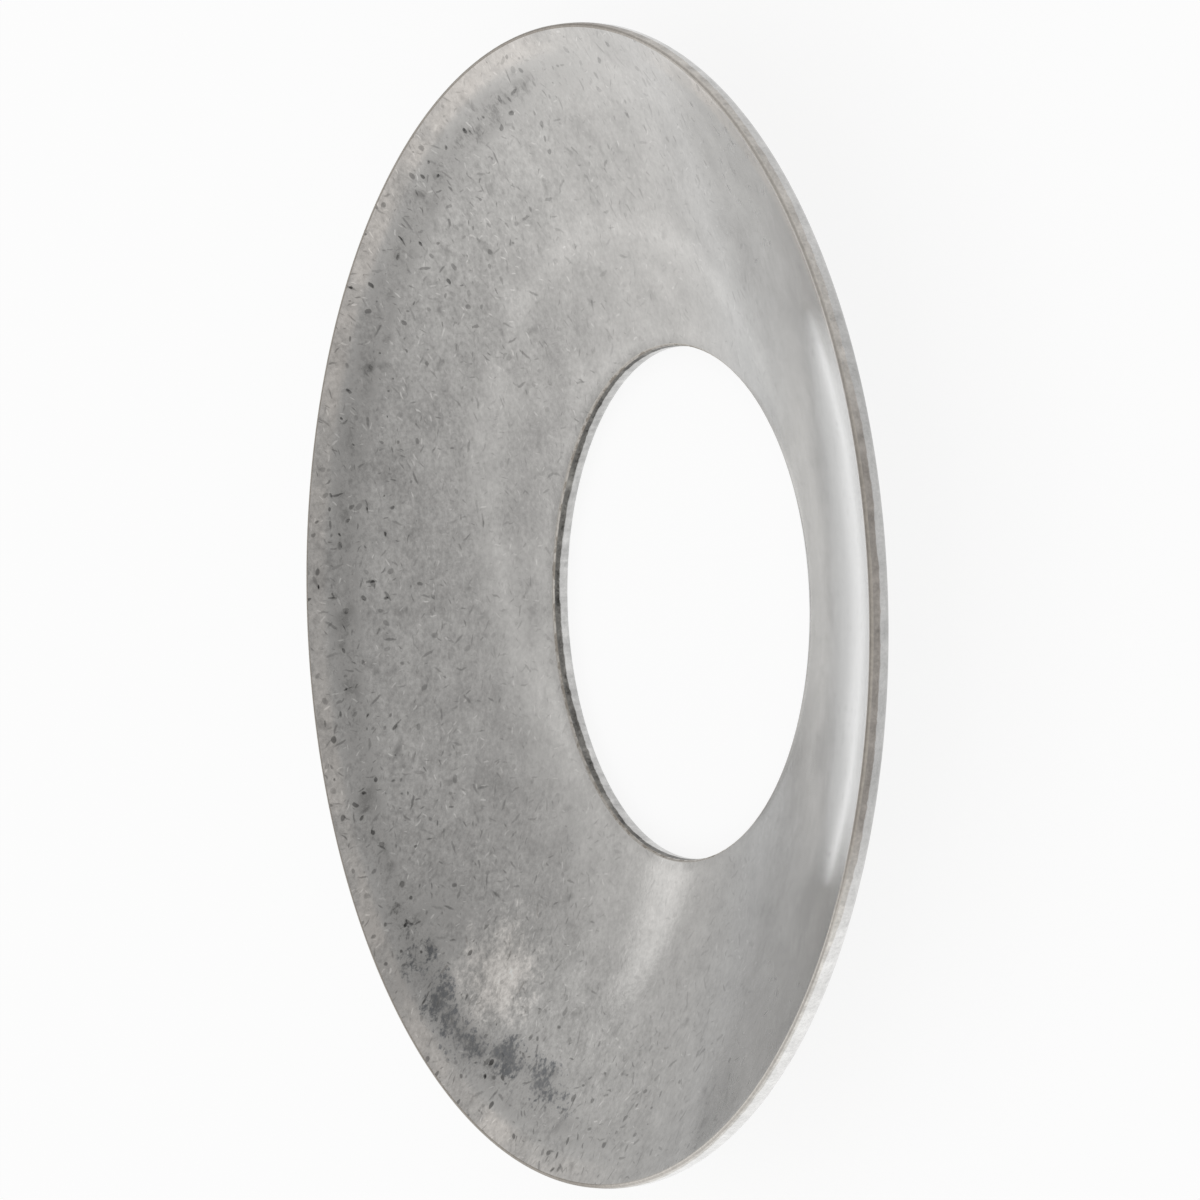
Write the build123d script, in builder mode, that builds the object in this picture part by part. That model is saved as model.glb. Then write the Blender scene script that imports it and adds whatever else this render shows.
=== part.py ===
from build123d import *
from math import asin, cos, sin, sqrt
import os

# A dished thrust washer, one stamping of plain steel strip with spherical faces.
# It lies as it comes to rest: hollow face up, on the edge of its bore.
# The origin is the middle of the circle that it rests on, and +Z is its axis.
# Lengths are in millimetres.

# The ring and its spherical form.
outer_diameter = 50.0
bore_diameter = 22.2
sheet_thickness = 0.8
hollow_face_radius = 50.0

# Near the rim the form opens out into a slightly flatter lip.
lip_width = 1.3
lip_face_radius = 110.0

# Both edges are sheared parallel to the axis, from the domed face towards the hollow one.
# The sheet rolls over where the cut starts, then there is a bright land at the full size.
# The last of the sheet breaks out, and that break leans back by the clearance of the die.
rim_roll_over = 0.40
bore_roll_over = 0.20
rim_break_out = 0.44
bore_break_out = 0.37
die_clearance = 0.05

# Tumbling takes the burr off the two corners of the hollow face.
edge_break = 0.12

outer_radius = outer_diameter / 2
bore_radius = bore_diameter / 2
domed_face_radius = hollow_face_radius + sheet_thickness
lip_back_radius = lip_face_radius + sheet_thickness

# The centre of both spherical faces stands on the axis, at the height
# that puts the lowest point of the bore's roll-over on the ground.
roll_over_centre_x = bore_radius + bore_roll_over
dome_to_roll_over = domed_face_radius - bore_roll_over
form_centre = Vector(0, bore_roll_over + sqrt(dome_to_roll_over**2 - roll_over_centre_x**2))

# The lip leaves the sphere along its tangent, so its centre is on the same normal.
lip_angle = asin((outer_radius - lip_width) / hollow_face_radius)
lip_normal = Vector(sin(lip_angle), -cos(lip_angle))
lip_centre = form_centre - lip_normal * (lip_face_radius - hollow_face_radius)


def on_circle(centre, radius, x):
    """The point at distance x from the axis on the lower half of a circle."""
    return Vector(x, centre.Y - sqrt(radius**2 - (x - centre.X) ** 2))


def corner(sketch, point):
    """The corner of a section that stands at a point."""
    return sketch.vertices().sort_by_distance(point)[0]


# The corners of the section before they are rounded, from the bore out to the rim.
hollow_bore_corner = on_circle(form_centre, hollow_face_radius, bore_radius + die_clearance)
domed_bore_corner = on_circle(form_centre, domed_face_radius, bore_radius)
bore_land_top = Vector(bore_radius, hollow_bore_corner.Y - bore_break_out)
hollow_lip_start = form_centre + lip_normal * hollow_face_radius
domed_lip_start = form_centre + lip_normal * domed_face_radius
hollow_rim_corner = on_circle(lip_centre, lip_face_radius, outer_radius - die_clearance)
domed_rim_corner = on_circle(lip_centre, lip_back_radius, outer_radius)
rim_land_top = Vector(outer_radius, hollow_rim_corner.Y - rim_break_out)

with BuildPart() as thrust_washer:
    with BuildSketch(Plane.XZ) as section:
        with BuildLine():
            # The hollow face, out along the top, and the edge of the rim.
            RadiusArc(hollow_bore_corner, hollow_lip_start, -hollow_face_radius)
            RadiusArc(hollow_lip_start, hollow_rim_corner, -lip_face_radius)
            Polyline(hollow_rim_corner, rim_land_top, domed_rim_corner)
            # The domed face, back underneath, and the edge of the bore.
            RadiusArc(domed_rim_corner, domed_lip_start, lip_back_radius)
            RadiusArc(domed_lip_start, domed_bore_corner, domed_face_radius)
            Polyline(domed_bore_corner, bore_land_top, hollow_bore_corner)
        make_face()
        fillet(corner(section, domed_rim_corner), rim_roll_over)
        fillet(corner(section, domed_bore_corner), bore_roll_over)
        fillet(corner(section, hollow_rim_corner), edge_break)
        fillet(corner(section, hollow_bore_corner), edge_break)
    revolve(axis=Axis.Z)

thrust_washer.part.label = "thrust_washer"
os.makedirs("parts", exist_ok=True)
export_step(thrust_washer.part, "parts/thrust_washer.step")
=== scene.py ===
"""A dished thrust washer of plain steel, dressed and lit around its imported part.

The washer lies hollow face up on the edge of its bore. Lengths are in metres unless a name
ends in _mm, and patterns are laid out in millimetres. X and Y lie across the washer, and +Z is
its axis.
"""

import logging
import math
from dataclasses import dataclass
from enum import IntEnum
from typing import Any, Dict, Optional, Tuple, Union

import bmesh
import bpy
from mathutils import Matrix, Quaternion, Vector, noise


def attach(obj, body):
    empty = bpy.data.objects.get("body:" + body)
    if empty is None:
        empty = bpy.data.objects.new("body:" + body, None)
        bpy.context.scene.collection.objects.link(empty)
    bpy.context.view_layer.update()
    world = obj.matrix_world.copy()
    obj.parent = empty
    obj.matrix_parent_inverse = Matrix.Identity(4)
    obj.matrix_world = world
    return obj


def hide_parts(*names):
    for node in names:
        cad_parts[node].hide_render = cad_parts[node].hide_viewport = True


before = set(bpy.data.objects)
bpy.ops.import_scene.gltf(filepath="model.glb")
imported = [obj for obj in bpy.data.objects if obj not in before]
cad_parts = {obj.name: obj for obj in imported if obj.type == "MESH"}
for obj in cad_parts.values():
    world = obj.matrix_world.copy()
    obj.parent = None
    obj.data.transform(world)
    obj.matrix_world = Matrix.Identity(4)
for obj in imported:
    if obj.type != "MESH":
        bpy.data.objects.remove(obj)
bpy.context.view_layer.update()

MM = 0.001
MICRON = 0.001 * MM
LOG = logging.getLogger("thrust_washer")
TORN = "torn"

Colour = Tuple[float, float, float]
Triple = Tuple[float, float, float]
Number = Union[float, "Channel"]

# Two parts of the rim's edge that differ from the rest, each as the direction from the axis, the
# reach to each side and the fade beyond it, in degrees. In the first, a painted reflection makes
# the land, the break-out and the edge break paler. In the second, painted shade darkens the land,
# and painted light makes the break-out and the edge break paler.
LIT_EDGE_SECTOR: Triple = (215.0, 20.0, 16.0)
EVENED_EDGE_SECTOR: Triple = (318.0, 18.0, 18.0)


class Skin(IntEnum):
    """The parts of the washer's surface that have a finish of their own."""

    FACE = 0
    SHEARED = 1
    EDGE_BREAK = 2


# ---- shader maths


@dataclass(frozen=True)
class Channel:
    """A node's output, so that shader maths is written as arithmetic."""

    graph: "Graph"
    socket: bpy.types.NodeSocket

    def _maths(self, operation: str, first: Number, second: Number = 0.0) -> "Channel":
        """One Math node on two numbers."""
        return self.graph.node("ShaderNodeMath", {"operation": operation}, {0: first, 1: second})

    def __add__(self, other: Number) -> "Channel":
        """self + other."""
        return self._maths("ADD", self, other)

    def __radd__(self, other: Number) -> "Channel":
        """other + self."""
        return self._maths("ADD", other, self)

    def __sub__(self, other: Number) -> "Channel":
        """self - other."""
        return self._maths("SUBTRACT", self, other)

    def __rsub__(self, other: Number) -> "Channel":
        """other - self."""
        return self._maths("SUBTRACT", other, self)

    def __mul__(self, other: Number) -> "Channel":
        """self * other."""
        return self._maths("MULTIPLY", self, other)

    def __rmul__(self, other: Number) -> "Channel":
        """other * self."""
        return self._maths("MULTIPLY", other, self)

    def __truediv__(self, other: Number) -> "Channel":
        """self / other."""
        return self._maths("DIVIDE", self, other)

    def out(self, name: str) -> "Channel":
        """Another output of the same node.

        Args:
            name: The output's name.

        Returns:
            That output.
        """
        return Channel(self.graph, self.socket.node.outputs[name])


class Graph:
    """The node tree of a material or of the world, built from nothing."""

    def __init__(self, tree: bpy.types.NodeTree) -> None:
        """Clears the tree.

        Args:
            tree: The tree to build in.
        """
        self.tree = tree
        tree.nodes.clear()

    def node(
        self,
        kind: str,
        settings: Optional[Dict[str, Any]] = None,
        sockets: Optional[Dict[Union[int, str], Any]] = None,
        output: Union[int, str] = 0,
    ) -> Optional[Channel]:
        """Adds one node.

        Args:
            kind: The node's type.
            settings: Its properties, set before its sockets. "stops" are a ramp's stops.
            sockets: A value or a channel for each input, by name or index.
            output: The output to return.

        Returns:
            The chosen output, or None where the node has none.
        """
        made = self.tree.nodes.new(kind)
        for name, value in (settings or {}).items():
            if name == "stops":
                ramp = made.color_ramp
                while len(ramp.elements) < len(value):
                    ramp.elements.new(1.0)
                for element, (place, level) in zip(ramp.elements, value):
                    element.position = place
                    element.color = (level, level, level, 1.0)
            else:
                setattr(made, name, value)
        for name, value in (sockets or {}).items():
            if isinstance(value, Channel):
                self.tree.links.new(value.socket, made.inputs[name])
            else:
                made.inputs[name].default_value = value
        return Channel(self, made.outputs[output]) if len(made.outputs) else None

    def vector(self, operation: str, first: Any, second: Any = (0.0, 0.0, 0.0)) -> Channel:
        """One Vector Math node that gives a vector."""
        return self.node("ShaderNodeVectorMath", {"operation": operation}, {0: first, 1: second})

    def length(self, vector: Channel) -> Channel:
        """The length of a vector."""
        return self.node("ShaderNodeVectorMath", {"operation": "LENGTH"}, {0: vector}, "Value")

    def unsigned(self, value: Channel) -> Channel:
        """A value without its sign."""
        return self.node("ShaderNodeMath", {"operation": "ABSOLUTE"}, {0: value})

    def rise(self, value: Channel, start: float, end: float) -> Channel:
        """A smooth step from 0 to 1.

        Args:
            value: What is stepped.
            start: The value where the step leaves 0.
            end: The value where the step reaches 1. It may be under start.

        Returns:
            The step, between 0 and 1.
        """
        low, high = min(start, end), max(start, end)
        levels = {"To Min": float(start > end), "To Max": float(start <= end)}
        return self.node(
            "ShaderNodeMapRange",
            {"interpolation_type": "SMOOTHSTEP"},
            {"Value": value, "From Min": low, "From Max": high, **levels},
        )

    def blend(self, share: Number, first: Any, second: Any, how: str = "MIX") -> Channel:
        """Mixes two colours.

        Args:
            share: How much of the second colour.
            first: A colour or a channel.
            second: A colour or a channel.
            how: The blend type.

        Returns:
            The mixed colour.
        """
        return self.node(
            "ShaderNodeMix",
            {"data_type": "RGBA", "blend_type": how},
            {0: share, 6: first, 7: second},
            2,
        )

    def speckle(
        self, place: Channel, per_mm: float, detail: float = 2.0, roughness: float = 0.5
    ) -> Channel:
        """Soft noise about zero, mostly between -0.25 and 0.25.

        Args:
            place: Coordinates in millimetres.
            per_mm: Waves per millimetre.
            detail: How many finer layers it has.
            roughness: The strength of each layer, as a share of the one before.

        Returns:
            The noise.
        """
        sockets = {"Vector": place, "Scale": per_mm, "Detail": detail, "Roughness": roughness}
        return self.node("ShaderNodeTexNoise", None, sockets) - 0.5

    def marks(
        self,
        place: Channel,
        per_mm: float,
        half_size_mm: Tuple[float, float],
        share: float,
        soft: float = 0.35,
        both_ways: bool = False,
    ) -> Channel:
        """Scattered oval marks, each with a size, a direction and a strength of its own.

        Args:
            place: Coordinates in millimetres, with no height.
            per_mm: Cells per millimetre, each of which may hold one mark.
            half_size_mm: Half the length and half the width of the largest mark.
            share: The share of the cells that hold a mark.
            soft: How soft its edge is, from 0 to 1.
            both_ways: Whether half of the marks are negative.

        Returns:
            The marks' strength, up to 1.
        """
        cells = self.node(
            "ShaderNodeTexVoronoi",
            {"voronoi_dimensions": "2D"},
            {"Vector": place, "Scale": per_mm, "Randomness": 0.8},
        )
        lot = self.node("ShaderNodeSeparateColor", None, {0: cells.out("Color")})
        turned = self.node(
            "ShaderNodeVectorRotate",
            {"rotation_type": "Z_AXIS"},
            {
                "Vector": self.vector("SUBTRACT", place, cells.out("Position")),
                "Angle": lot.out("Green") * math.tau,
            },
        )
        length, width = half_size_mm
        oval = self.length(self.vector("MULTIPLY", turned, (1.0 / length, 1.0 / width, 0.0)))
        size = (lot - (1.0 - share)) * (1.0 / share)
        strength = lot.out("Blue")
        strength = strength * 2.0 - 1.0 if both_ways else strength * 0.75 + 0.25
        return self.rise(size - oval, 0.0, soft) * strength


def rgba(colour: Colour) -> Tuple[float, float, float, float]:
    """A colour with full alpha."""
    return (*colour, 1.0)


# ---- finishes


@dataclass(frozen=True)
class Surface:
    """Where a finish is on the washer: coordinates that its patterns are laid out in."""

    graph: Graph
    place: Channel
    level: Channel
    from_axis: Channel
    up_x: Channel
    up_y: Channel
    around: Channel

    @classmethod
    def of(cls, graph: Graph) -> "Surface":
        """Adds the nodes that find the place on the washer.

        Args:
            graph: The material's graph.

        Returns:
            The place in millimetres, the same without its height, the distance from the axis,
            the two parts of the direction away from the axis, and that direction itself.
        """
        where = graph.node("ShaderNodeTexCoord", output="Object")
        place = graph.vector("MULTIPLY", where, (1.0 / MM, 1.0 / MM, 1.0 / MM))
        level = graph.vector("MULTIPLY", place, (1.0, 1.0, 0.0))
        around = graph.vector("NORMALIZE", level)
        parts = graph.node("ShaderNodeSeparateXYZ", None, {0: around}, "X")
        return cls(graph, place, level, graph.length(level), parts, parts.out("Y"), around)

    def rim(self) -> Channel:
        """1 on the rim's edge, and 0 on the bore's."""
        return self.graph.rise(self.from_axis, 15.0, 20.0)

    def torn(self) -> Channel:
        """What the mesh says of the break-out: 1 on it, and 0 off it."""
        return self.graph.node("ShaderNodeAttribute", {"attribute_name": TORN}, output="Fac")

    def away_from(self, x_mm: float, y_mm: float) -> Channel:
        """The level distance from a point."""
        return self.graph.length(self.graph.vector("SUBTRACT", self.level, (x_mm, y_mm, 0.0)))

    def patch(self, x_mm: float, y_mm: float, reach_mm: float) -> Channel:
        """1 in the middle of a round patch, fading to 0 at its reach."""
        return self.graph.rise(self.away_from(x_mm, y_mm), reach_mm, 0.0)

    def band(self, distance: Channel, middle_mm: float, half_mm: float, soft_mm: float) -> Channel:
        """1 around a distance, with soft sides.

        Args:
            distance: The distance that is tested.
            middle_mm: The distance at the middle of the band.
            half_mm: Half the band's width, at half its strength.
            soft_mm: Half the width of each soft side.

        Returns:
            The mask.
        """
        off = self.graph.unsigned(distance - middle_mm)
        return self.graph.rise(off, half_mm + soft_mm, half_mm - soft_mm)

    def sector(self, middle_deg: float, reach_deg: float, soft_deg: float) -> Channel:
        """1 within an angle of a direction from the axis, fading to 0 beyond it.

        Args:
            middle_deg: The direction, from +X towards +Y.
            reach_deg: The angle to each side that is all 1.
            soft_deg: The angle over which it fades.

        Returns:
            The mask.
        """
        middle, reach, end = (
            math.radians(angle) for angle in (middle_deg, reach_deg, reach_deg + soft_deg)
        )
        along = self.graph.node(
            "ShaderNodeVectorMath",
            {"operation": "DOT_PRODUCT"},
            {0: self.around, 1: (math.cos(middle), math.sin(middle), 0.0)},
            "Value",
        )
        return self.graph.rise(along, math.cos(end), math.cos(reach))


@dataclass(frozen=True)
class Finish:
    """A finish: a metal's colour and roughness, and how patterns change them."""

    name: str
    steel: Colour
    roughness: float

    def build(self) -> bpy.types.Material:
        """Makes the material.

        Returns:
            The material.
        """
        material = bpy.data.materials.new(self.name)
        material.use_nodes = True
        surface = Surface.of(Graph(material.node_tree))
        graph = surface.graph
        colour, roughness, height_um = self.pattern(surface)
        bump = {"Strength": 1.0, "Distance": MICRON, "Height": height_um}
        normal = graph.node("ShaderNodeBump", None, bump)
        sockets = {"Base Color": colour, "Metallic": 1.0, "Roughness": roughness, "Normal": normal}
        shader = graph.node("ShaderNodeBsdfPrincipled", None, sockets)
        graph.node("ShaderNodeOutputMaterial", None, {"Surface": shader})
        return material

    def pattern(self, surface: Surface) -> Tuple[Channel, Channel, Channel]:
        """Lays out the patterns.

        Args:
            surface: The place on the washer.

        Returns:
            The colour, the roughness and the height in thousandths of a millimetre.
        """
        raise NotImplementedError


@dataclass(frozen=True)
class Noises:
    """The noises that the face's patterns share."""

    clouds: Channel
    mottle: Channel
    grain: Channel
    ragged: Channel

    @classmethod
    def of(cls, surface: Surface) -> "Noises":
        """Adds the noises.

        Args:
            surface: The place on the washer.

        Returns:
            Broad clouds, mottling, fine grain, and a mix of the last two for ragged edges.
        """
        graph, place = surface.graph, surface.place
        mottle = graph.speckle(place, 0.6, 4.0, 0.62)
        grain = graph.speckle(place, 4.0, 3.0, 0.7)
        return cls(graph.speckle(place, 0.22, 2.0), mottle, grain, mottle * 1.4 + grain * 0.8)


@dataclass(frozen=True)
class Marks:
    """The marks that handling has left on the face, and pale flecks that are painted glints."""

    smears: Channel
    dots: Channel
    nicks: Channel
    flecks_and_glints: Channel


@dataclass(frozen=True)
class TumbledFace(Finish):
    """Plain strip after tumbling: satin, with pits, nicks, stains and rubbed patches, and with
    painted highlights and painted shade in soft bands on the hollow face.

    A patch is given by its X, its Y and its reach. A band is given by its distance from the
    axis, half its width and half the width of each soft side. Both are in millimetres. A
    sector is given by its direction, its reach to each side and its fade, in degrees.
    """

    name: str = "tumbled_face"
    steel: Colour = (0.562, 0.55, 0.532)
    roughness: float = 0.10
    near_steel: Colour = (0.553, 0.553, 0.548)
    rubbed_steel: Colour = (0.60, 0.565, 0.53)
    stained_steel: Colour = (0.15, 0.153, 0.158)
    form_centre_mm: float = 49.52
    mid_sheet_radius_mm: float = 50.4
    contact_band: Triple = (18.0, 3.5, 2.0)
    clean_patch: Triple = (-14.5, 1.5, 7.0)
    rubbed_patch: Triple = (-16.5, 11.7, 5.2)
    stain_band: Triple = (23.0, 0.7, 1.0)
    stain_sector: Triple = (150.0, 11.0, 14.0)
    stain_bulge: Triple = (162.0, 5.0, 9.0)
    lip_sector: Triple = (318.0, 14.0, 14.0)
    smudge_band: Triple = (23.0, 0.6, 0.6)
    smudge_patch: Triple = (-15.0, 17.0, 5.0)
    # From here on, patches, bands and sectors of painted shade and painted highlights on the
    # hollow face.
    shade_patches: Tuple[Triple, Triple] = ((-20.9, -10.2, 3.4), (-6.2, -13.3, 1.6))
    shade_band: Triple = (16.5, 1.8, 1.3)
    shade_sector: Triple = (270.0, 20.0, 12.0)
    shade_end_band: Triple = (19.3, 1.2, 1.0)
    end_sectors: Tuple[Triple, Triple] = ((300.0, 8.0, 8.0), (240.0, 8.0, 8.0))
    near_highlight_sector: Triple = (270.0, 28.0, 5.0)
    ring_highlight_centre: Tuple[float, float] = (3.8, 2.2)
    ring_highlight_band: Triple = (12.5, 0.6, 0.9)
    bore_highlight_sector: Triple = (135.0, 20.0, 25.0)
    bore_shade_sector: Triple = (30.0, 30.0, 25.0)
    rim_highlight_sector: Triple = (356.0, 10.0, 18.0)
    pale_highlight_sector: Triple = (315.0, 14.0, 16.0)

    def pattern(self, surface: Surface) -> Tuple[Channel, Channel, Channel]:
        """Lays out the patterns. See Finish."""
        graph, from_axis, up_y = surface.graph, surface.from_axis, surface.up_y
        noises = Noises.of(surface)
        mottle, grain = noises.mottle, noises.grain

        # The far half took the most handling, and its rim the most of all.
        worn = graph.rise(up_y, -0.95, 0.45) * (0.5 + 0.5 * graph.rise(from_axis, 12.5, 20.0))
        worn = worn * (1.0 - graph.rise(surface.up_x, 0.78, 1.0) * 0.4)
        marks = self._marks(surface, worn)

        # The hollow face is inside the middle of the sheet, and the domed face is outside it.
        from_centre = graph.vector("SUBTRACT", surface.place, (0.0, 0.0, self.form_centre_mm))
        hollow = graph.rise(graph.length(from_centre) - self.mid_sheet_radius_mm, 0.1, -0.1)
        contact = surface.band(from_axis, *self.contact_band) * (1.0 - hollow)

        stain = self._stain(surface, noises, marks, hollow)
        rubbed = self._rubbed(surface, noises, marks, hollow)
        lip = self._lip(surface, noises) * hollow
        across = from_axis * up_y
        near = graph.rise(across, -9.0, -11.5)

        dark = marks.smears * 0.36 + marks.dots * 0.64 + marks.nicks * 0.48
        # Smudges on the far rim, and painted shade on the near side.
        dark = (dark + self._smudges_and_painted_shade(surface, noises) * hollow) * (1.0 - stain * 0.6)
        # Pale flecks are painted glints; dark ones are marks.
        tone = 1.0 + noises.clouds * 0.14 + mottle * (0.34 + worn * 0.40)
        tone = tone + grain * (0.14 + worn * 0.85) + marks.flecks_and_glints * 0.48 + contact * 0.08
        # Painted highlights and painted shade in soft bands on the hollow face, and a faint
        # painted highlight over its near side.
        tone = tone + (self._painted_light(surface) + near * 0.05) * hollow + lip * 0.10
        tone = tone + rubbed * (0.32 + grain * 0.6 + mottle * 0.8)
        tone = tone + stain * (grain * 1.6 + mottle)
        steel = graph.blend(graph.rise(up_y, -0.1, -0.8), rgba(self.steel), rgba(self.near_steel))
        steel = graph.blend(lip * 0.8 + rubbed * 0.6, steel, rgba(self.rubbed_steel))
        stained = stain * (0.72 + grain * 1.8 + mottle * 1.6)
        steel = graph.blend(stained, steel, rgba(self.stained_steel))
        colour = graph.blend(1.0, steel, tone * (1.0 - dark), "MULTIPLY")

        # Rougher on the far side, and where the near side mirrors the far one.
        roughness = self.roughness + mottle * 0.08 + dark * 0.2 + stain * 0.1
        roughness = roughness + graph.rise(up_y, 0.3, 0.8) * 0.07 - contact * 0.03
        soft = graph.rise(across, -5.5, -9.5) * graph.rise(graph.unsigned(surface.up_x), 0.5, 0.75)
        roughness = roughness + near * 0.04 + soft * 0.11
        return colour, roughness, grain * (1.2 + worn * 3.2) - marks.dots * 8.0

    def _marks(self, surface: Surface, worn: Channel) -> Marks:
        """Scatters the marks of handling.

        Args:
            surface: The place on the washer.
            worn: How much handling the face had there.

        Returns:
            Smears, dots, nicks and flecks. The flecks are dark marks, and pale painted glints.
        """
        graph = surface.graph
        bend = {"Vector": surface.place, "Scale": 2.2, "Detail": 1.0}
        bend = graph.node("ShaderNodeTexNoise", None, bend, "Color")
        bend = graph.vector("MULTIPLY", bend, (0.2, 0.2, 0.0))
        crooked = graph.vector("ADD", surface.level, bend)
        marked = (0.2 + worn * 0.8) * (1.0 - surface.patch(*self.clean_patch) * 0.7)
        outer = graph.rise(surface.from_axis, 17.0, 21.5)
        flecks_and_glints = graph.marks(crooked, 2.9, (0.26, 0.06), 0.75, soft=0.5, both_ways=True)
        return Marks(
            smears=graph.marks(crooked, 0.8, (0.75, 0.32), 0.65, soft=0.9) * marked,
            dots=graph.marks(crooked, 1.7, (0.23, 0.15), 0.42) * marked * (0.4 + outer * 0.6),
            nicks=graph.marks(crooked, 1.5, (0.48, 0.09), 0.6, soft=0.5) * marked,
            flecks_and_glints=flecks_and_glints * marked,
        )

    def _stain(self, surface: Surface, noises: Noises, marks: Marks, hollow: Channel) -> Channel:
        """The ragged dark stain inside the rim.

        Args:
            surface: The place on the washer.
            noises: The noises that make it ragged.
            marks: The marks of handling.
            hollow: 1 on the hollow face, which is the stained one.

        Returns:
            The stain's strength, up to 1.
        """
        rise = surface.graph.rise
        bulge = surface.sector(*self.stain_bulge) * 1.1
        stain = surface.band(surface.from_axis + bulge, *self.stain_band)
        stain = stain * surface.sector(*self.stain_sector) * hollow
        ragged = noises.mottle * 2.8 + noises.grain * 2.2 + marks.flecks_and_glints * 0.3
        return rise(stain * 0.88 + ragged * rise(stain, 0.02, 0.3), 0.3, 0.95)

    def _rubbed(self, surface: Surface, noises: Noises, marks: Marks, hollow: Channel) -> Channel:
        """The veined patch beside the stain that is rubbed bright.

        Args:
            surface: The place on the washer.
            noises: The noises that make it ragged.
            marks: The marks of handling.
            hollow: 1 on the hollow face, which is the rubbed one.

        Returns:
            How much it is rubbed, up to 1.
        """
        rise = surface.graph.rise
        rubbed = surface.patch(*self.rubbed_patch) * hollow
        veins = (noises.ragged * 1.2 + marks.nicks * 0.5) * rise(rubbed, 0.02, 0.3)
        return rise(rubbed * 1.1 + veins, 0.35, 1.15)

    def _far_half(self, surface: Surface) -> Channel:
        """1 on the half of the face towards +Y."""
        return surface.graph.rise(surface.up_y, -0.2, 0.35)

    def _lip(self, surface: Surface, noises: Noises) -> Channel:
        """The lip at the rim, rubbed pale in places.

        Args:
            surface: The place on the washer.
            noises: The noises that break it up.

        Returns:
            How much it is rubbed.
        """
        rise = surface.graph.rise
        lip = rise(surface.from_axis, 23.7, 24.2)
        lip = lip * (self._far_half(surface) + surface.sector(*self.lip_sector))
        return lip * (0.5 + 0.5 * rise(noises.clouds + noises.mottle * 0.6, -0.12, 0.12))

    def _ends(self, surface: Surface) -> Channel:
        """1 at the two ends of the painted highlight arc on the near side."""
        first, last = self.end_sectors
        return surface.sector(*first) + surface.sector(*last)

    def _smudges_and_painted_shade(self, surface: Surface, noises: Noises) -> Channel:
        """Smudges along the far rim, and painted shade on the near side: a soft band, the ends of
        the painted highlight arc and two dim patches.

        Args:
            surface: The place on the washer.
            noises: The noises that break up the smudges.

        Returns:
            How much darker the hollow face is there.
        """
        graph, from_axis = surface.graph, surface.from_axis
        smudges = surface.band(from_axis, *self.smudge_band) * self._far_half(surface)
        smudges = smudges + surface.patch(*self.smudge_patch) * 0.7
        smudges = smudges * (0.08 + graph.rise(noises.ragged, -0.06, 0.24) * 0.42)
        # Painted shade: two dim patches, a soft band on the near side and the ends of the painted
        # highlight arc.
        first, last = self.shade_patches
        patch_shade = surface.patch(*first) + surface.patch(*last)
        shade = surface.band(from_axis, *self.shade_band) * surface.sector(*self.shade_sector)
        ends = surface.band(from_axis, *self.shade_end_band) * self._ends(surface)
        return smudges + patch_shade * 0.16 + shade * 0.22 + ends * 0.18

    def _painted_light(self, surface: Surface) -> Channel:
        """Painted highlights in soft pale bands across the hollow face, and painted shade on one
        side of the bore.

        Args:
            surface: The place on the washer.

        Returns:
            How much lighter the hollow face is there, and under 0 where it is darker.
        """
        rise, from_axis = surface.graph.rise, surface.from_axis
        # Painted highlights: a ring round the bore, pale bands towards the rim and an arc on the
        # near side; painted shade on one side of the bore.
        ring_highlight = surface.band(surface.away_from(*self.ring_highlight_centre), *self.ring_highlight_band)
        pale_highlight = rise(from_axis, 17.5, 19.5) * surface.sector(*self.pale_highlight_sector)
        bore_light_and_shade = surface.sector(*self.bore_highlight_sector)
        bore_light_and_shade = bore_light_and_shade - surface.sector(*self.bore_shade_sector)
        bore_light_and_shade = bore_light_and_shade * rise(from_axis, 16.5, 12.0)
        rim_highlight = rise(from_axis, 21.0, 23.0) * surface.sector(*self.rim_highlight_sector)
        near_highlight = rise(from_axis, 19.0, 21.2) * surface.sector(*self.near_highlight_sector)
        light = ring_highlight * 0.15 + pale_highlight * 0.12 + bore_light_and_shade * 0.16 + rim_highlight * 0.13
        return light + near_highlight * (0.26 + self._ends(surface) * 0.1)


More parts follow.
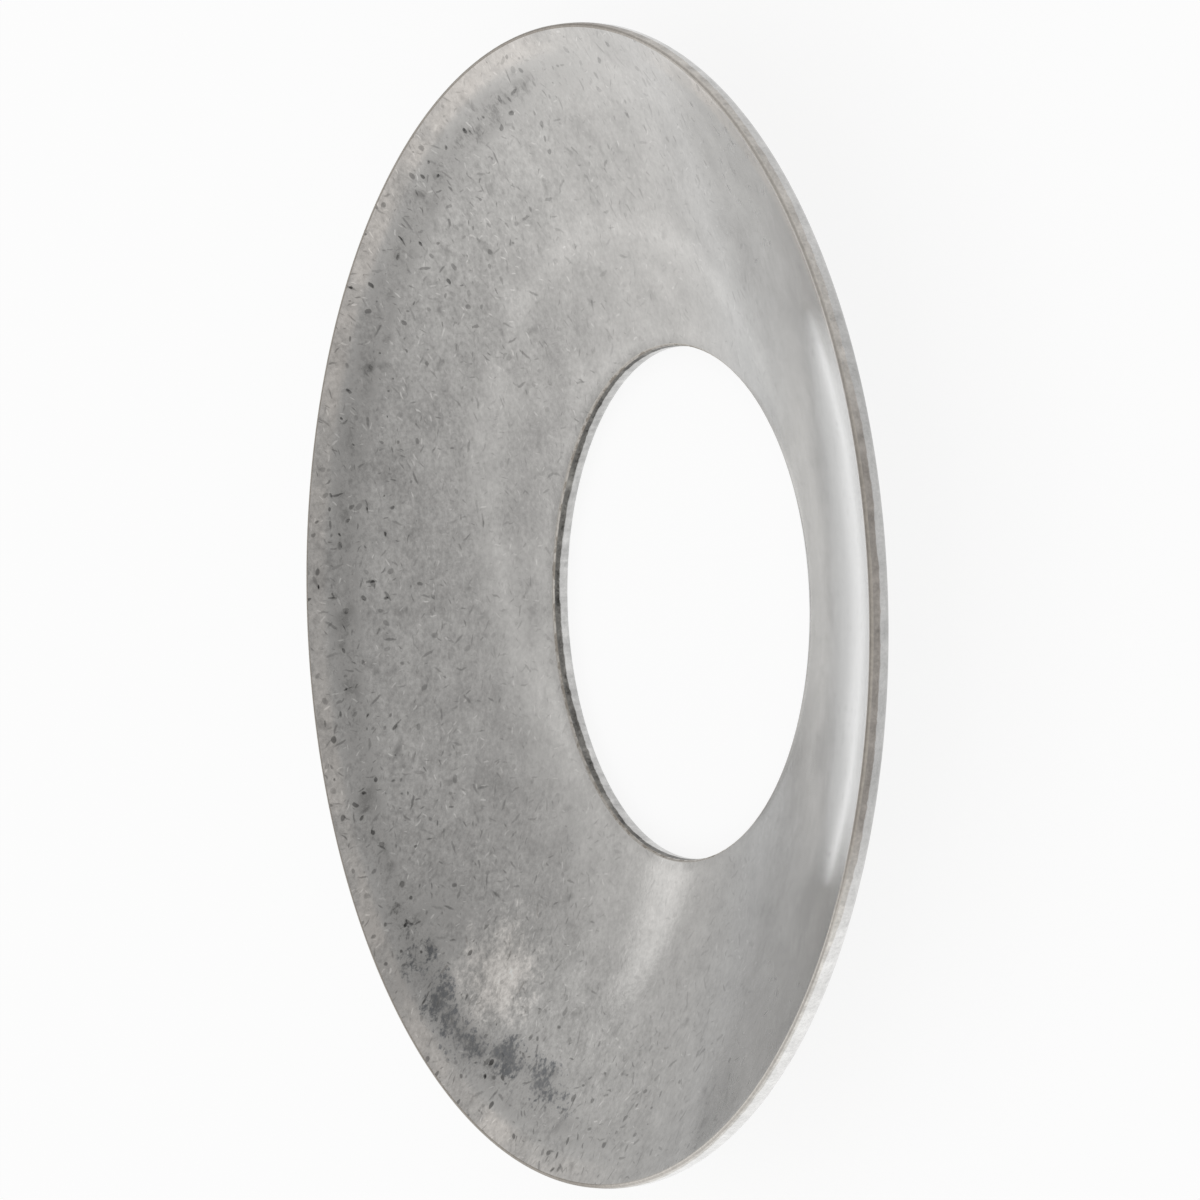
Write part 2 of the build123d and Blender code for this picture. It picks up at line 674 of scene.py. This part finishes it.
@dataclass(frozen=True)
class ShearedEdge(Finish):
    """A sheared edge: a bright land, and torn above it, darker in the bore than on the rim. On the
    rim, painted shade darkens the land on the near side, and painted reflections change it in two
    sectors.
    """

    name: str = "sheared_edge"
    steel: Colour = (0.66, 0.655, 0.645)
    roughness: float = 0.2
    bore_torn: Colour = (0.165, 0.16, 0.15)
    rim_torn: Colour = (0.305, 0.283, 0.262)
    lit_torn: Colour = (0.665, 0.645, 0.61)

    def pattern(self, surface: Surface) -> Tuple[Channel, Channel, Channel]:
        """Lays out the patterns. See Finish."""
        graph = surface.graph
        patches = graph.speckle(surface.place, 1.2, 5.0, 0.6)
        grain = graph.speckle(surface.place, 7.0, 3.0, 0.6)
        along = graph.vector("MULTIPLY", surface.around, (40.0, 40.0, 40.0))
        streaks = graph.speckle(along, 1.0, 4.0)
        rim = surface.rim()
        near = rim * graph.rise(surface.up_y, -0.8, -0.97)
        lit_edge = surface.sector(*LIT_EDGE_SECTOR)
        evened_edge = rim * surface.sector(*EVENED_EDGE_SECTOR)

        tone = 1.0 + (streaks * 0.6 + patches * 1.1) * (1.0 - rim * 0.5) + grain * 0.4
        # Painted shade darkens the rim's land on the near side and in the second sector; a painted
        # reflection lightens it in the first.
        tone = tone * (0.82 + rim * (0.18 + lit_edge * 0.22) - near * 0.26 - evened_edge * 0.2)
        land = graph.blend(1.0, rgba(self.steel), tone, "MULTIPLY")
        torn = graph.blend(rim, rgba(self.bore_torn), rgba(self.rim_torn))
        # Painted light: the break-out is paler in both sectors of the rim's edge.
        torn = graph.blend(rim * lit_edge + evened_edge * 0.5, torn, rgba(self.lit_torn))
        tone = 1.0 + (patches * 3.0 + grain * 2.4 + streaks * 1.0) * (1.0 - rim * 0.65)
        bare = graph.rise(graph.speckle(surface.place, 0.3), 0.06, 0.2)
        tone = tone + bare * (1.0 - rim) * 0.6
        torn = graph.blend(1.0, torn, tone, "MULTIPLY")
        share = graph.rise(surface.torn() + grain * 0.9 + patches * 0.3, 0.25, 0.75)
        roughness = self.roughness + streaks * 0.15 + share * (0.25 + grain * 0.3)
        height = streaks * 10.0 + grain * 3.0 + share * (patches * 30.0 + grain * 16.0)
        return graph.blend(share, land, torn), roughness, height


@dataclass(frozen=True)
class EdgeBreak(Finish):
    """The corner that tumbling has rounded: rubbed bright and warm, and dark where it isn't."""

    name: str = "edge_break"
    steel: Colour = (0.60, 0.57, 0.53)
    roughness: float = 0.36
    torn: Colour = (0.33, 0.30, 0.265)

    def pattern(self, surface: Surface) -> Tuple[Channel, Channel, Channel]:
        """Lays out the patterns. See Finish."""
        graph = surface.graph
        patches = graph.speckle(surface.place, 1.6, 5.0, 0.7)
        grain = graph.speckle(surface.place, 7.0, 2.0)
        rim = surface.rim()
        share = graph.rise(surface.torn() + patches * 4.0 + grain * 1.2, 0.25, 0.75)
        # Painted light: the rim's edge break is paler in both sectors of the rim's edge.
        lit_edge = surface.sector(*LIT_EDGE_SECTOR) * 0.8 + surface.sector(*EVENED_EDGE_SECTOR) * 0.5
        share = share * (1.0 - rim) + rim * 0.8 - rim * lit_edge
        steel = graph.blend(share, rgba(self.steel), rgba(self.torn))
        tone = 1.0 + grain * 0.5 + patches * (0.6 - rim * 0.3)
        colour = graph.blend(1.0, steel, tone, "MULTIPLY")
        return colour, self.roughness + share * 0.1, grain * 6.0


# ---- the washer


@dataclass(frozen=True)
class Circle:
    """A circle of the washer's section, of which the lower half is used."""

    x: float
    z: float
    radius: float

    def height_at(self, x: float) -> float:
        """The height of the lower half at a distance x from the axis."""
        return self.z - math.sqrt(self.radius**2 - (x - self.x) ** 2)


@dataclass(frozen=True)
class ShearedWall:
    """One of the washer's two straight walls, with its land below and its break-out above."""

    low: float
    tear: float
    high: float
    rises: Tuple[Triple, ...]
    jag_size: float = 0.5 * MM
    jag_height: float = 0.035 * MM
    sway_sizes: Tuple[float, float] = (7.0 * MM, 2.3 * MM)
    sway_heights: Tuple[float, float] = (0.10 * MM, 0.05 * MM)

    def lift_at(self, place: Vector) -> float:
        """How far the tear line is moved up.

        Args:
            place: A point on the wall.

        Returns:
            The lift, before it fades out towards the wall's two ends.
        """
        around = Vector((place.x, place.y, 0.0))
        lift = noise.fractal(around / self.jag_size, 0.6, 2.2, 5) * self.jag_height
        for size, height in zip(self.sway_sizes, self.sway_heights):
            lift += noise.noise(around / size) * height
        angle = math.atan2(place.y, place.x)
        for middle_deg, reach_deg, height in self.rises:
            off = abs((angle - math.radians(middle_deg) + math.pi) % math.tau - math.pi)
            off /= math.radians(reach_deg)
            if off < 1.0:
                lift += height * (1.0 - off * off) ** 2
        return lift

    def share_at(self, height: float) -> float:
        """The share of the lift that a height takes: 1 at the tear line, 0 at both ends."""
        if height < self.tear:
            return max((height - self.low) / (self.tear - self.low), 0.0)
        return max((self.high - height) / (self.high - self.tear), 0.0)


@dataclass
class ThrustWasher:
    """The whole washer: one stamping with spherical faces and sheared edges.

    Each rise of a tear line is given by its direction and its reach to each side, in degrees,
    and its height.
    """

    outer_radius: float = 25.0 * MM
    bore_radius: float = 11.1 * MM
    sheet: float = 0.8 * MM
    hollow_radius: float = 50.0 * MM
    lip_width: float = 1.3 * MM
    lip_radius: float = 110.0 * MM
    rim_roll_over: float = 0.40 * MM
    bore_roll_over: float = 0.20 * MM
    rim_break_out: float = 0.44 * MM
    bore_break_out: float = 0.37 * MM
    die_clearance: float = 0.05 * MM
    edge_break: float = 0.12 * MM
    bore_tear_rises: Tuple[Triple, ...] = ((22.0, 38.0, 0.17 * MM), (150.0, 22.0, 0.13 * MM))
    rim_tear_rises: Tuple[Triple, ...] = ((215.0, 42.0, 0.24 * MM),)
    still_below: float = 0.12 * MM
    still_above: float = 0.08 * MM
    tear_line: float = 0.01 * MM
    rough_size: float = 0.35 * MM
    rough_depth: float = 0.012 * MM
    sector_steps: int = 50
    doublings: int = 4
    face_rows: int = 24
    lip_rows: int = 3
    corner_rows: int = 6
    break_out_rows: int = 6
    land_rows: int = 3

    def build(self) -> bpy.types.Object:
        """Makes the washer's mesh and object.

        Returns:
            The finished piece.
        """
        mesh = bmesh.new()
        corners = self._outline(mesh)
        self._round_corners(mesh, corners)
        self._split_walls(mesh, corners)
        self._turn(mesh)
        self._tear(mesh, corners)
        skin = mesh.edges.layers.int["skin"]
        for face in mesh.faces:
            face.material_index = max(edge[skin] for edge in face.edges)
            face.smooth = True
        data = bpy.data.meshes.new("washer_dressed")
        mesh.to_mesh(data)
        mesh.free()
        for finish in (TumbledFace(), ShearedEdge(), EdgeBreak()):
            data.materials.append(finish.build())
        piece = bpy.data.objects.new("washer_dressed", data)
        bpy.context.scene.collection.objects.link(piece)
        return piece

    def _turn(self, mesh: bmesh.types.BMesh) -> None:
        """Spins the section through one sector, and doubles that until the ring is closed.

        Args:
            mesh: The section.
        """
        sector = 2.0 * math.pi / 2**self.doublings
        geometry = mesh.verts[:] + mesh.edges[:]
        axis = (0.0, 0.0, 1.0)
        bmesh.ops.spin(mesh, geom=geometry, axis=axis, angle=sector, steps=self.sector_steps)
        for doubling in range(self.doublings):
            turn = Matrix.Rotation(sector * 2**doubling, 3, "Z")
            copied = bmesh.ops.duplicate(mesh, geom=mesh.verts[:] + mesh.edges[:] + mesh.faces[:])
            verts = [part for part in copied["geom"] if isinstance(part, bmesh.types.BMVert)]
            bmesh.ops.rotate(mesh, verts=verts, matrix=turn)
        bmesh.ops.remove_doubles(mesh, verts=mesh.verts[:], dist=0.0005 * MM)
        bmesh.ops.recalc_face_normals(mesh, faces=mesh.faces[:])

    def _tear(self, mesh: bmesh.types.BMesh, corners: Dict[str, Vector]) -> None:
        """Marks the break-out, makes its line with the land wander, and roughens it.

        Args:
            mesh: The turned ring.
            corners: The places of the section's corners by name.
        """
        torn_share = mesh.verts.layers.float.new(TORN)
        for end, radius, inwards, rises in (
            ("bore", self.bore_radius, -1.0, self.bore_tear_rises),
            ("rim", self.outer_radius, 1.0, self.rim_tear_rises),
        ):
            low = corners["domed_" + end].z + self.still_below
            high = corners["hollow_" + end].z - self.still_above
            wall = ShearedWall(low, corners[end + "_land"].z, high, rises)
            for vert in mesh.verts:
                outwards = Vector((vert.co.x, vert.co.y, 0.0))
                off = abs(outwards.length - radius)
                if off < self.edge_break and vert.co.z > wall.tear - self.tear_line:
                    vert[torn_share] = 1.0 - off / self.edge_break
                    if vert.co.z < wall.tear + self.tear_line:
                        vert[torn_share] = 0.5
                if off > self.die_clearance or not low < vert.co.z < high:
                    continue
                torn = vert.co.z > wall.tear
                share = wall.share_at(vert.co.z)
                vert.co.z += share * wall.lift_at(vert.co)
                if torn:
                    rough = abs(noise.fractal(vert.co / self.rough_size, 0.8, 2.0, 3))
                    depth = share * rough * inwards * self.rough_depth
                    vert.co -= outwards.normalized() * depth

    def _outline(self, mesh: bmesh.types.BMesh) -> Dict[str, Vector]:
        """Draws the section with sharp corners, and rounds its long sides to their circles.

        Args:
            mesh: The mesh that takes the section.

        Returns:
            The places of the section's corners by name.
        """
        domed_radius = self.hollow_radius + self.sheet
        roll_x = self.bore_radius + self.bore_roll_over
        to_roll = domed_radius - self.bore_roll_over
        form_z = self.bore_roll_over + math.sqrt(to_roll**2 - roll_x**2)
        lip_angle = math.asin((self.outer_radius - self.lip_width) / self.hollow_radius)
        offset = self.lip_radius - self.hollow_radius
        lip_x, lip_z = -math.sin(lip_angle) * offset, form_z + math.cos(lip_angle) * offset
        hollow = Circle(0.0, form_z, self.hollow_radius)
        domed = Circle(0.0, form_z, domed_radius)
        lip = Circle(lip_x, lip_z, self.lip_radius)
        lip_back = Circle(lip_x, lip_z, self.lip_radius + self.sheet)

        bore_x = self.bore_radius + self.die_clearance
        rim_x = self.outer_radius - self.die_clearance
        hollow_lip_x = self.hollow_radius * math.sin(lip_angle)
        domed_lip_x = domed_radius * math.sin(lip_angle)
        places = {
            "hollow_bore": (bore_x, hollow.height_at(bore_x)),
            "hollow_lip": (hollow_lip_x, hollow.height_at(hollow_lip_x)),
            "hollow_rim": (rim_x, lip.height_at(rim_x)),
            "rim_land": (self.outer_radius, lip.height_at(rim_x) - self.rim_break_out),
            "domed_rim": (self.outer_radius, lip_back.height_at(self.outer_radius)),
            "domed_lip": (domed_lip_x, domed.height_at(domed_lip_x)),
            "domed_bore": (self.bore_radius, domed.height_at(self.bore_radius)),
            "bore_land": (self.bore_radius, hollow.height_at(bore_x) - self.bore_break_out),
        }
        corners = {name: mesh.verts.new((x, 0.0, z)) for name, (x, z) in places.items()}
        sides = (
            ("hollow_bore", "hollow_lip", hollow, self.face_rows),
            ("hollow_lip", "hollow_rim", lip, self.lip_rows),
            ("hollow_rim", "rim_land", None, 1),
            ("rim_land", "domed_rim", None, 1),
            ("domed_rim", "domed_lip", lip_back, self.lip_rows),
            ("domed_lip", "domed_bore", domed, self.face_rows),
            ("domed_bore", "bore_land", None, 1),
            ("bore_land", "hollow_bore", None, 1),
        )
        edges = [mesh.edges.new((corners[first], corners[last])) for first, last, *_ in sides]
        for edge, (_, _, circle, rows) in zip(edges, sides):
            if circle is None:
                continue
            cut = bmesh.ops.subdivide_edges(mesh, edges=[edge], cuts=rows - 1)
            for vert in cut["geom_inner"]:
                if isinstance(vert, bmesh.types.BMVert):
                    vert.co.z = circle.height_at(vert.co.x)
        return {name: Vector((x, 0.0, z)) for name, (x, z) in places.items()}

    def _round_corners(self, mesh: bmesh.types.BMesh, corners: Dict[str, Vector]) -> None:
        """Rounds the section's four outer corners, and notes each edge's skin.

        Args:
            mesh: The section.
            corners: The places of its corners by name.
        """
        skin = mesh.edges.layers.int.new("skin")
        rounds = (
            ("hollow_bore", self.edge_break, Skin.EDGE_BREAK),
            ("hollow_rim", self.edge_break, Skin.EDGE_BREAK),
            ("domed_rim", self.rim_roll_over, Skin.SHEARED),
            ("domed_bore", self.bore_roll_over, Skin.SHEARED),
        )
        for name, radius, part in rounds:
            place = corners[name]
            corner = min(mesh.verts, key=lambda vert: (vert.co - place).length)
            first, last = (edge.other_vert(corner).co - corner.co for edge in corner.link_edges)
            reach = radius / math.tan(first.angle(last) / 2.0)
            bmesh.ops.bevel(
                mesh,
                geom=[corner],
                offset=reach,
                offset_type="OFFSET",
                segments=self.corner_rows,
                profile=0.5,
                affect="VERTICES",
                material=-1,
            )
            for edge in mesh.edges:
                if (middle_of(edge) - place).length < reach:
                    edge[skin] = part

    def _split_walls(self, mesh: bmesh.types.BMesh, corners: Dict[str, Vector]) -> None:
        """Cuts the two straight walls into rows, land below and break-out above.

        Args:
            mesh: The section with its corners rounded.
            corners: The places of its corners by name.
        """
        skin = mesh.edges.layers.int["skin"]
        for wall, tear in ((self.bore_radius, "bore_land"), (self.outer_radius, "rim_land")):
            for torn, rows in ((False, self.land_rows), (True, self.break_out_rows)):
                edges = [
                    edge
                    for edge in mesh.edges
                    if edge[skin] == Skin.FACE
                    and abs(middle_of(edge).x - wall) < self.die_clearance
                    and (middle_of(edge).z > corners[tear].z) == torn
                ]
                for edge in edges:
                    edge[skin] = Skin.SHEARED
                bmesh.ops.subdivide_edges(mesh, edges=edges, cuts=rows - 1)


def middle_of(edge: bmesh.types.BMEdge) -> Vector:
    """The middle of an edge."""
    return (edge.verts[0].co + edge.verts[1].co) / 2.0


# ---- the studio


@dataclass
class Studio:
    """The floor, the light and the camera."""

    floor_size: float = 3.0
    floor_colour: Colour = (0.9, 0.9, 0.9)
    glow: float = 0.75
    paper_light: float = 1.09
    # How bright the sky is, after the height: 0 at the horizon and 1 overhead.
    sky_levels: Tuple[Tuple[float, float], ...] = (
        (0.0, 0.86), (0.08, 0.84), (0.17, 0.87), (0.42, 0.95), (0.6, 0.93), (0.68, 0.83),
        (0.79, 0.73), (0.87, 0.66), (0.91, 0.6), (0.945, 0.53), (1.0, 0.49),
    )
    camera_place: Triple = (0.004457, -0.285319, 0.163553)
    camera_aim: Triple = (0.00026997, -0.0028289, 0.0061792)
    camera_roll_deg: float = -91.7446
    lens_mm: float = 227.79
    sensor_mm: float = 36.0

    def build(self) -> None:
        """Builds the floor, the world and the camera."""
        self._floor()
        self._world()
        self._camera()
        bpy.context.scene.view_settings.view_transform = "Standard"

    def _floor(self) -> None:
        """A plain pale floor that looks white and keeps the washer's shadow."""
        mesh = bmesh.new()
        bmesh.ops.create_grid(mesh, x_segments=8, y_segments=8, size=self.floor_size / 2.0)
        data = bpy.data.meshes.new("studio_floor")
        mesh.to_mesh(data)
        mesh.free()
        floor = bpy.data.objects.new("studio_floor", data)
        bpy.context.scene.collection.objects.link(floor)
        material = bpy.data.materials.new("floor_paper")
        material.use_nodes = True
        graph = Graph(material.node_tree)
        rays = graph.node("ShaderNodeLightPath", output="Is Camera Ray")
        seen = rays + rays.out("Is Glossy Ray") + rays.out("Is Transmission Ray")
        paper = graph.node("ShaderNodeBsdfDiffuse", None, {"Color": rgba(self.floor_colour)})
        white = {"Color": rgba((1.0, 1.0, 1.0)), "Strength": self.paper_light}
        light = graph.node("ShaderNodeEmission", None, white)
        mixed = graph.node("ShaderNodeMixShader", None, {0: seen * self.glow, 1: paper, 2: light})
        graph.node("ShaderNodeOutputMaterial", None, {"Surface": mixed})
        data.materials.append(material)

    def _world(self) -> None:
        """The light: pale at the floor's height and softer overhead, with a box and a card."""
        world = bpy.data.worlds.new("studio")
        world.use_nodes = True
        bpy.context.scene.world = world
        graph = Graph(world.node_tree)
        direction = graph.node("ShaderNodeTexCoord", output="Generated")
        parts = graph.node("ShaderNodeSeparateXYZ", None, {0: direction}, "X")
        across, away, up = parts, parts.out("Y"), parts.out("Z")
        # White behind the camera.
        level = graph.node("ShaderNodeValToRGB", {"stops": self.sky_levels}, {0: up})
        level = graph.blend(graph.rise(away, -0.1, -0.7), level, rgba((1.0, 1.0, 1.0)))
        # Dimmer to both sides, most of all towards +X, and a soft box opposite the camera.
        flag = 1.0 - graph.rise(across, -0.04, 0.18) * graph.rise(up, 1.0, 0.8) * 0.3
        flag = flag - graph.rise(across, -0.12, -0.3) * graph.rise(up, 0.25, 0.4) * 0.1
        off = graph.unsigned(across + 0.04)
        box = graph.rise(off, 0.26, 0.1) * graph.rise(up, 0.3, 0.5) * graph.rise(up, 0.84, 0.7)
        box = box * graph.rise(away, 0.0, 0.3)
        flag = flag + box * 0.4
        # A narrow three-cornered card on the far side.
        aside, tilt = across / away, up / away
        card = graph.rise(tilt, 0.49, 0.51) * graph.rise(tilt - aside * 1.04, 0.215, 0.235)
        card = card * graph.rise(tilt + aside * 0.29, 0.752, 0.732)
        card = card * graph.rise(aside, 0.1, 0.2) * graph.rise(away, 0.0, 0.1)
        light = graph.blend(1.0, level, flag + card * 0.34, "MULTIPLY")
        sky = graph.node("ShaderNodeBackground", None, {"Color": light, "Strength": 1.0})
        graph.node("ShaderNodeOutputWorld", None, {"Surface": sky})

    def _camera(self) -> None:
        """The photograph's camera: a long lens, rolled a quarter turn."""
        data = bpy.data.cameras.new("camera")
        data.lens, data.sensor_width = self.lens_mm, self.sensor_mm
        data.clip_start, data.clip_end = 0.01, 10.0
        camera = bpy.data.objects.new("camera", data)
        place, aim = Vector(self.camera_place), Vector(self.camera_aim)
        turn = (aim - place).to_track_quat("-Z", "Y")
        roll = Quaternion((0.0, 0.0, 1.0), math.radians(self.camera_roll_deg))
        camera.matrix_world = Matrix.LocRotScale(place, turn @ roll, None)
        bpy.context.scene.collection.objects.link(camera)
        bpy.context.scene.camera = camera


def main() -> None:
    """Builds the washer and its studio, and hands them to the frame."""
    logging.basicConfig(level=logging.INFO, format="%(message)s")
    washer = ThrustWasher().build()
    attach(washer, "root")
    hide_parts("thrust_washer")
    LOG.info("washer: %d faces", len(washer.data.polygons))
    Studio().build()
    LOG.info("studio built")


if __name__ == "__main__":
    main()
